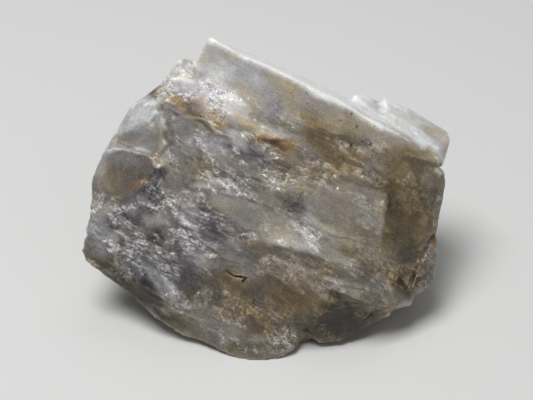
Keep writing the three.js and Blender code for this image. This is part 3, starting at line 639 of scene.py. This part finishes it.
def line_relief(seen, corners, drop, reach, ridge, half_width):
    """A step across a broken line, which dies away to both sides and at its ends, and a ridge or groove."""
    gap = np.full(len(seen), np.inf)
    side = np.zeros(len(seen))
    place = np.zeros(len(seen))
    length = 0.0
    for start, end in zip(corners, corners[1:]):
        run = np.subtract(end, start)
        away = seen - start
        part = np.clip(away @ run / (run @ run), 0, 1)
        distance = np.hypot(*(away - part[:, None] * run).T)
        left = run[0] * away[:, 1] - run[1] * away[:, 0]
        closer = distance < gap
        gap = np.where(closer, distance, gap)
        side = np.where(closer, np.sign(left), side)
        place = np.where(closer, length + part * np.hypot(*run), place)
        length += np.hypot(*run)
    fade = smoothstep(0, min(reach, length / 2), np.minimum(place, length - place))
    step = 0.5 * drop * side * smoothstep(0, STEP_WIDTH, gap) * np.exp(-gap / reach)
    return step * fade + ridge * np.exp(-(gap / half_width) ** 2) * (RIDGE_END + (1 - RIDGE_END) * fade)


def relief(points, normals):
    """How far each point of the surface moves out along its normal."""
    grain = on_grain(points)
    rough = stone_map(points, normals)["rough"]
    height = np.zeros(len(points))
    for level in PLATE_LEVELS:
        height += plates(grain, *level) * rough
    face = on_face(points)
    ragged = np.stack([soft_noise(points, size, seed) for size, seed in LINE_NOISES], axis=1)
    seen = as_seen(face) + LINE_WANDER * ragged
    front = front_weight(face, normals)
    for line in LINES:
        height += line_relief(seen, *line) * front
    return height


def break_surface(stone):
    mesh = stone.data
    points = read_points(mesh) / MM
    normals = read_points(mesh, "normal")
    calm = smoothstep(0.0, FOOT_FADE, points[:, 2])
    height = np.clip(relief(points, normals), MOST_IN, MOST_OUT) * calm
    moved = points + normals * height[:, None]
    moved[:, 2] = np.maximum(moved[:, 2], 0)
    write_points(mesh, moved * MM)


def thin_out(stone):
    """Fewer, larger triangles where the surface is flat."""
    ratio = min(1, TRIANGLES / (2 * len(stone.data.polygons)))
    stone.data = with_modifier(stone, "DECIMATE", ratio=ratio, use_collapse_triangulate=True)
    stone.data.shade_smooth()
    stone.data.set_sharp_from_angle(angle=SHARP)


def keep_vectors(mesh, name, vectors):
    layer = mesh.attributes.new(name, "FLOAT_VECTOR", "POINT")
    layer.data.foreach_set("vector", vectors.astype(np.float32).ravel())


def write_map(stone):
    """Keeps the stone's map, its fibres and its edges on the mesh, for the material."""
    mesh = stone.data
    points = read_points(mesh) / MM
    normals = read_points(mesh, "normal")
    values = stone_map(points, normals)
    outwards = -(smoothed_shift(stone, EDGE_STEPS) * normals).sum(axis=1)
    # edge: above 0 on ridges, which the material paints lighter as a highlight, and below 0 in creases,
    # which it paints darker as their shade
    values["edge"] = np.clip(outwards / EDGE_FULL, -1, 1)
    for channel, value in values.items():
        layer = mesh.attributes.new(channel, "FLOAT", "POINT")
        layer.data.foreach_set("value", value.astype(np.float32))
    face = on_face(points)
    hidden = OUT_OF_REACH * (front_weight(face, normals) < 0.5)
    keep_vectors(mesh, "grain", on_grain(points))
    keep_vectors(mesh, "seen", np.column_stack([as_seen(face), hidden]))


def make_crystal(node):
    stone = copy_of(node)
    remesh(stone, COARSE_VOXEL)
    for _ in range(CREASE_ROUNDS):
        soften_creases(stone)
    even_face(stone)
    remesh(stone, FINE_VOXEL)
    square_slab_end(stone)
    break_surface(stone)
    thin_out(stone)
    write_map(stone)
    return stone


# -------- the material
# Soft noise: its size along the fibres, across them and out of the face, and its detail.
NOISES = {
    "cloud": ((3.6, 2.2, 2.2), 4.0),
    "hue": ((4.6, 3.1, 3.1), 3.0),
    "mottle": ((1.2, 0.8, 0.8), 3.0),
    "fibre": ((0.9, 0.3, 0.3), 3.0),
    "dust": ((0.22, 0.16, 0.16), 2.0),
    "frosting": ((2.0, 1.0, 1.0), 5.0),
    "veining": ((2.0, 0.9, 0.9), 5.0),
    "hollows": ((1.9, 1.1, 1.1), 3.0),
}

# Broken cells, from large to small, each with a random colour that stands for its luck.
CELLS = {"shard": (1.8, 0.8, 0.8), "chip": (0.75, 0.38, 0.38), "grit": (0.3, 0.18, 0.18)}
CELL_WANDER = 0.7                 # how far the cells' borders stray, in cells
CELL_BENDS = {"Scale": 1.6, "Detail": 1.0}

# The noise, or a cell's luck, at which each pattern starts to show, and at which it is full.
FROST_SHOWS = (-0.1, 0.12)
VEIN_SHOWS = (0.04, 0.0)
HOLLOW_SHOWS = (0.06, 0.2)
PAINTED_GLINT_SHOWS = (0.74, 0.84)
PIT_SHOWS = (0.2, 0.1)
SHINE_SHOWS = (0.3, 0.8)

# How much of each pattern goes into what is named.
SPECKLE = {"sugar": 0.15, "frost": 0.8}
BUSY = {"rough": 0.6}
BUSY_LEAST = 0.35
# The tone takes in painted light: the painted glints, ridges painted lighter as highlights and creases
# painted darker as shade.
TONE = {
    "tone": 1, "cloud": 0.17, "frost": 0.07, "painted_glint": 0.35, "pit": -0.08, "dust": 0.34, "vein": 0.23,
    "hollow": -0.13, "specks_and_painted_glints": 1, "busy_mottle": 0.23, "busy_fibre": 0.2, "drift": 0.14, "ridge": 0.14,
    "crease_shade": 0.05,
}
DARKEST = 0.12
PALEST = 0.93
TONE_POWER = 2.0                  # from a tone to the share of light that comes back
BUMP = {"fibre": 1, "mottle": 1}
BUMP_DEPTH = 0.07                 # in millimetres
BUMP_STRENGTH = {"rough": 0.8}
BUMP_LEAST = 0.12
GLOSS = {"rough": -0.06, "shine": -0.3}
GLOSS_PLAIN = 0.44                # the roughness that these take away from

# The stone's tints, laid over the neutral one in turn.
NEUTRAL = (0.99, 1.0, 0.975, 1)
TINTS = (
    ((1.36, 1.0, 0.47, 1), {"warm": 1, "hue": 0.9, "mottle": 0.5}),
    ((1.07, 0.95, 1.04, 1), {"violet": 0.9, "hue": -1.2, "mottle": 0.5, "hollow": 0.6}),
    ((1.75, 0.88, 0.28, 1), {"stain": 1}),
    # a cool white over the frost, and over the painted glints
    ((0.97, 1.0, 1.02, 1), {"frost": 0.5, "painted_glint": 1}),
)

# How far each cell of a kind tilts its own way.
TILTS = {"grit": {"speckle": 0.9, "rough": 0.05}, "chip": {"rough": 0.32}, "shard": {"rough": 0.2}}

SAME_ALL_OVER = {
    "IOR": 1.6,
    "Subsurface Weight": 0.75,
    "Subsurface Radius": (1.0, 0.94, 0.88),
    "Subsurface Scale": 1.5 * MM,
}

# Small dark specks, and glints of painted highlight: place (across, up), radius and how much lighter each
# one is.
SPECKS_AND_PAINTED_GLINTS = (
    # black specks on the slab and its underside
    (6, 16.1, 0.2, -0.3), (6.1, 14.5, 0.15, -0.25), (8.1, 16.2, 0.2, -0.3), (4.4, 17.4, 0.12, -0.25),
    (12.8, 13, 0.24, -0.32), (13.6, 11.1, 0.24, -0.26), (11.2, 12, 0.26, -0.12), (12.7, 8.2, 0.34, -0.34),
    (12.2, 7.7, 0.2, -0.26), (14.4, 8.8, 0.22, -0.24), (15.7, 8.4, 0.24, -0.3), (-1.4, 11.6, 0.12, -0.25),
    # below the left scales
    (-14.5, 5.4, 0.22, -0.3), (-14.1, 5.9, 0.15, -0.3),
    # the crack and its pit
    (-5.8, -10.6, 0.16, -0.3), (-3.9, -11.5, 0.2, -0.3), (-3.5, -12.2, 0.24, -0.3),
    (-3.1, -11.8, 0.18, -0.3), (-2.5, -11.9, 0.13, -0.25), (-3.2, -12.5, 0.16, -0.22),
    # the dark patch in the middle
    (5.1, 0.9, 0.28, -0.12), (5.5, -0.1, 0.24, -0.1), (4.4, -0.5, 0.3, -0.14), (3.8, -0.9, 0.26, -0.14),
    (3.3, 0.2, 0.22, -0.1), (3.3, -1.7, 0.32, -0.16), (2.8, -0.2, 0.2, -0.1), (4.7, 0.1, 0.2, -0.12),
    # painted glints: small bright spots painted where the stone catches the light
    (10.7, 1.8, 0.22, 0.5), (-5.3, 15.2, 0.3, 0.4), (-3.9, 15.1, 0.25, 0.4), (-2.8, 15.3, 0.22, 0.35),
    (-6.8, -17.6, 0.16, 0.45), (0.6, -8.4, 0.16, 0.4), (14.4, -13.8, 0.2, 0.45), (-16.6, 7, 0.2, 0.35),
    (-1.8, 12.1, 0.22, 0.3), (-10.1, 1.6, 0.24, 0.35), (-6.4, 2.2, 0.2, 0.35), (-4.5, 0.7, 0.22, 0.35),
)
SPECK_RAGGED = (0.35, 0.25, 0.25)  # the size of the noise that makes their borders ragged
SPECK_WANDER = 0.7
SPECK_CORE = 0.5                  # a speck is full inside this part of its radius

MIX_FIRST, MIX_SECOND, MIX_RESULT = 6, 7, 2  # where the Mix node has its colour sockets


class Shader:
    """Short calls that add nodes to one material."""

    def __init__(self, name):
        self.material = bpy.data.materials.new(name)
        self.material.use_nodes = True
        self.tree = self.material.node_tree
        self.surface = self.tree.nodes["Principled BSDF"]

    def node(self, kind, settings=None, **inputs):
        """A new node. An input's name has _ for a space."""
        made = self.tree.nodes.new("ShaderNode" + kind)
        for name, value in (settings or {}).items():
            setattr(made, name, value)
        for name, value in inputs.items():
            self.feed(made.inputs[name.replace("_", " ")], value)
        return made

    def feed(self, socket, value):
        if isinstance(value, bpy.types.NodeSocket):
            self.tree.links.new(value, socket)
        else:
            socket.default_value = value

    def set_surface(self, sockets):
        for name, value in sockets.items():
            self.feed(self.surface.inputs[name], value)

    def math(self, operation, *values):
        made = self.node("Math", {"operation": operation})
        for socket, value in zip(made.inputs, values):
            self.feed(socket, value)
        return made.outputs[0]

    def times(self, first, second):
        return self.math("MULTIPLY", first, second)

    def total(self, patterns, weights, base=0.0):
        """The sum of the patterns that are named, each times its weight."""
        for name, weight in weights.items():
            base = self.math("MULTIPLY_ADD", patterns[name], weight, base)
        return base

    def vector(self, operation, first, second=None, scale=None):
        made = self.node("VectorMath", {"operation": operation})
        self.feed(made.inputs[0], first)
        if second is not None:
            self.feed(made.inputs[1], second)
        if scale is not None:
            self.feed(made.inputs["Scale"], scale)
        return made.outputs[0]

    def mix(self, factor, first, second):
        made = self.node("Mix", {"data_type": "RGBA", "clamp_factor": True}, Factor=factor)
        self.feed(made.inputs[MIX_FIRST], first)
        self.feed(made.inputs[MIX_SECOND], second)
        return made.outputs[MIX_RESULT]

    def span(self, value, low, high):
        """0 where the value is at low and 1 where it is at high."""
        settings = {"clamp": True, "interpolation_type": "SMOOTHSTEP"}
        return self.node("MapRange", settings, Value=value, From_Min=low, From_Max=high).outputs[0]

    def on_mesh(self, name, output="Fac"):
        return self.node("Attribute", {"attribute_name": name}).outputs[output]

    def grain(self, size):
        """Coordinates along the fibres, one unit for each size in millimetres."""
        return self.vector("DIVIDE", self.on_mesh("grain", "Vector"), size)

    def noise(self, size, detail):
        """Soft noise around 0."""
        made = self.node("TexNoise", Vector=self.grain(size), Scale=1.0, Detail=detail)
        return self.math("SUBTRACT", made.outputs["Fac"], 0.5)

    def cells(self, size):
        """A random colour for each cell."""
        bends = self.node("TexNoise", Vector=self.grain(size), **CELL_BENDS)
        wander = self.vector("SCALE", bends.outputs["Color"], scale=CELL_WANDER)
        place = self.vector("ADD", self.grain(size), wander)
        return self.node("TexVoronoi", Vector=place, Scale=1.0).outputs["Color"]

    def specks_and_painted_glints(self):
        """How much darker the stone is on its dark specks, and how much lighter on its painted glints."""
        ragged = self.node("TexNoise", Vector=self.grain(SPECK_RAGGED), Scale=1.0).outputs["Color"]
        wander = self.vector("SCALE", ragged, scale=SPECK_WANDER)
        place = self.vector("ADD", self.on_mesh("seen", "Vector"), wander)
        middle = SPECK_WANDER / 2
        change = 0.0
        for across, up, radius, amount in SPECKS_AND_PAINTED_GLINTS:
            away = self.node("VectorMath", {"operation": "DISTANCE"})
            self.feed(away.inputs[0], place)
            self.feed(away.inputs[1], (across + middle, up + middle, middle))
            inside = self.span(away.outputs["Value"], radius, SPECK_CORE * radius)
            change = self.math("MULTIPLY_ADD", inside, amount, change)
        return change


def stone_patterns(shader):
    """The patterns that the stone is painted with, by name."""
    found = {channel: shader.on_mesh(channel) for channel in (*PLAIN, "edge")}
    for name, (size, detail) in NOISES.items():
        found[name] = shader.noise(size, detail)
    for name, size in CELLS.items():
        found[name] = shader.cells(size)
    sugar, rough = found["sugar"], found["rough"]
    times, span = shader.times, shader.span

    thread = shader.math("ABSOLUTE", found["veining"])
    found["frost"] = times(sugar, span(found["frosting"], *FROST_SHOWS))
    found["vein"] = times(sugar, span(thread, *VEIN_SHOWS))
    found["hollow"] = times(rough, span(found["hollows"], *HOLLOW_SHOWS))

    luck = shader.node("SeparateColor", Color=found["grit"]).outputs
    speckle = found["speckle"] = shader.total(found, SPECKLE)
    # painted glints: some grit cells in the frosty places are painted lighter and whiter, as bright flecks
    # of painted highlight
    found["painted_glint"] = times(speckle, span(luck["Red"], *PAINTED_GLINT_SHOWS))
    found["pit"] = times(speckle, span(luck["Red"], *PIT_SHOWS))
    found["shine"] = times(speckle, span(luck["Green"], *SHINE_SHOWS))

    busy = shader.total(found, BUSY, BUSY_LEAST)
    found["busy_mottle"] = times(busy, found["mottle"])
    found["busy_fibre"] = times(busy, found["fibre"])
    shade = shader.node("SeparateColor", Color=found["chip"]).outputs["Red"]
    found["drift"] = times(rough, shader.math("SUBTRACT", shade, 0.5))

    # painted light: ridges lighter as a painted highlight, creases darker as painted shade
    found["ridge"] = shader.math("MAXIMUM", found["edge"], 0)
    found["crease_shade"] = shader.math("MINIMUM", found["edge"], 0)
    found["stain"] = shader.math("MULTIPLY_ADD", found["mottle"], found["rust"], found["rust"])
    found["specks_and_painted_glints"] = shader.specks_and_painted_glints()
    return found


def stone_color(shader, found):
    tone = shader.math("MAXIMUM", shader.math("MINIMUM", shader.total(found, TONE), PALEST), DARKEST)
    tint = NEUTRAL
    for color, weights in TINTS:
        tint = shader.mix(shader.total(found, weights), tint, color)
    return shader.vector("SCALE", tint, scale=shader.math("POWER", tone, TONE_POWER))


def stone_normal(shader, found):
    """The surface's direction: each broken cell tilts its own way, and the fibres stand out."""
    bent = shader.node("NewGeometry").outputs["Normal"]
    for kind, weights in TILTS.items():
        away = shader.vector("SUBTRACT", found[kind], (0.5, 0.5, 0.5))
        tilt = shader.vector("SCALE", away, scale=shader.total(found, weights))
        bent = shader.vector("ADD", bent, tilt)
    strength = shader.total(found, BUMP_STRENGTH, BUMP_LEAST)
    height = shader.total(found, BUMP)
    whole = shader.vector("NORMALIZE", bent)
    bump = shader.node("Bump", Height=height, Distance=BUMP_DEPTH * MM, Strength=strength, Normal=whole)
    return bump.outputs["Normal"]


def stone_material():
    shader = Shader(SLOT)
    found = stone_patterns(shader)
    shader.set_surface(SAME_ALL_OVER)
    shader.set_surface({
        "Base Color": stone_color(shader, found),
        "Normal": stone_normal(shader, found),
        "Roughness": shader.total(found, GLOSS, GLOSS_PLAIN),
    })
    return shader.material


# -------- floor, lamps, camera
# Square lamps aimed at the stone: azimuth (0 is the camera's side, 90 is the right) and elevation in
# degrees, distance and side in metres, and power in watts.
LAMPS = {
    "key": (-60, 74, 0.6, 0.3, 3.3),
    "back": (165, 60, 0.8, 0.4, 0.6),
    "fill": (35, 30, 0.8, 0.6, 0.4),
}
LAMP_TARGET = (0, 0, 0.018)
SKY = {"Color": (0.93, 0.96, 1, 1), "Strength": 0.14}
FLOOR = {"Base Color": (0.68, 0.68, 0.67, 1), "Roughness": 0.8}
FLOOR_HALF = 1.5                  # half the floor's side, in metres
CLIP_START = 0.001                # the camera's near limit, in metres


def make_camera():
    data = bpy.data.cameras.new("camera")
    camera = add_object("camera", data)
    back = face_axes()[:, 2]
    target = Vector(FACE_ORIGIN) + Vector(FACE_DEPTH * back)
    towards = Vector(back)
    camera.location = (target - VIEW_DISTANCE * towards) * MM
    camera.rotation_euler = towards.to_track_quat("-Z", "Y").to_euler()
    data.sensor_width = SENSOR_WIDTH
    data.lens = SENSOR_WIDTH * VIEW_DISTANCE / VIEW_WIDTH
    data.clip_start = CLIP_START
    bpy.context.scene.camera = camera


def area_light(name, azimuth, elevation, distance, size, power):
    data = bpy.data.lights.new(name, "AREA")
    data.size = size
    data.energy = power
    lamp = add_object(name, data)
    turn, rise = math.radians(azimuth), math.radians(elevation)
    out = Vector((math.sin(turn) * math.cos(rise), -math.cos(turn) * math.cos(rise), math.sin(rise)))
    lamp.location = Vector(LAMP_TARGET) + out * distance
    lamp.rotation_euler = (-out).to_track_quat("-Z", "Y").to_euler()


def make_world():
    world = bpy.data.worlds.new("studio")
    world.use_nodes = True
    background = world.node_tree.nodes["Background"]
    for name, value in SKY.items():
        background.inputs[name].default_value = value
    bpy.context.scene.world = world


def make_floor():
    mesh = bpy.data.meshes.new("floor")
    corners = [(x * FLOOR_HALF, y * FLOOR_HALF, 0) for x, y in ((-1, -1), (1, -1), (1, 1), (-1, 1))]
    mesh.from_pydata(corners, [], [(0, 1, 2, 3)])
    floor = add_object("floor", mesh)
    shader = Shader("floor")
    shader.set_surface(FLOOR)
    mesh.materials.append(shader.material)


bpy.context.scene.view_settings.view_transform = "Standard"
make_camera()
make_world()
make_floor()
for lamp_name, lamp_settings in LAMPS.items():
    area_light(lamp_name, *lamp_settings)

crystal = make_crystal(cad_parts[NODE])
crystal.data.materials.clear()
crystal.data.materials.append(stone_material())
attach(crystal, "root")
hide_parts(NODE)
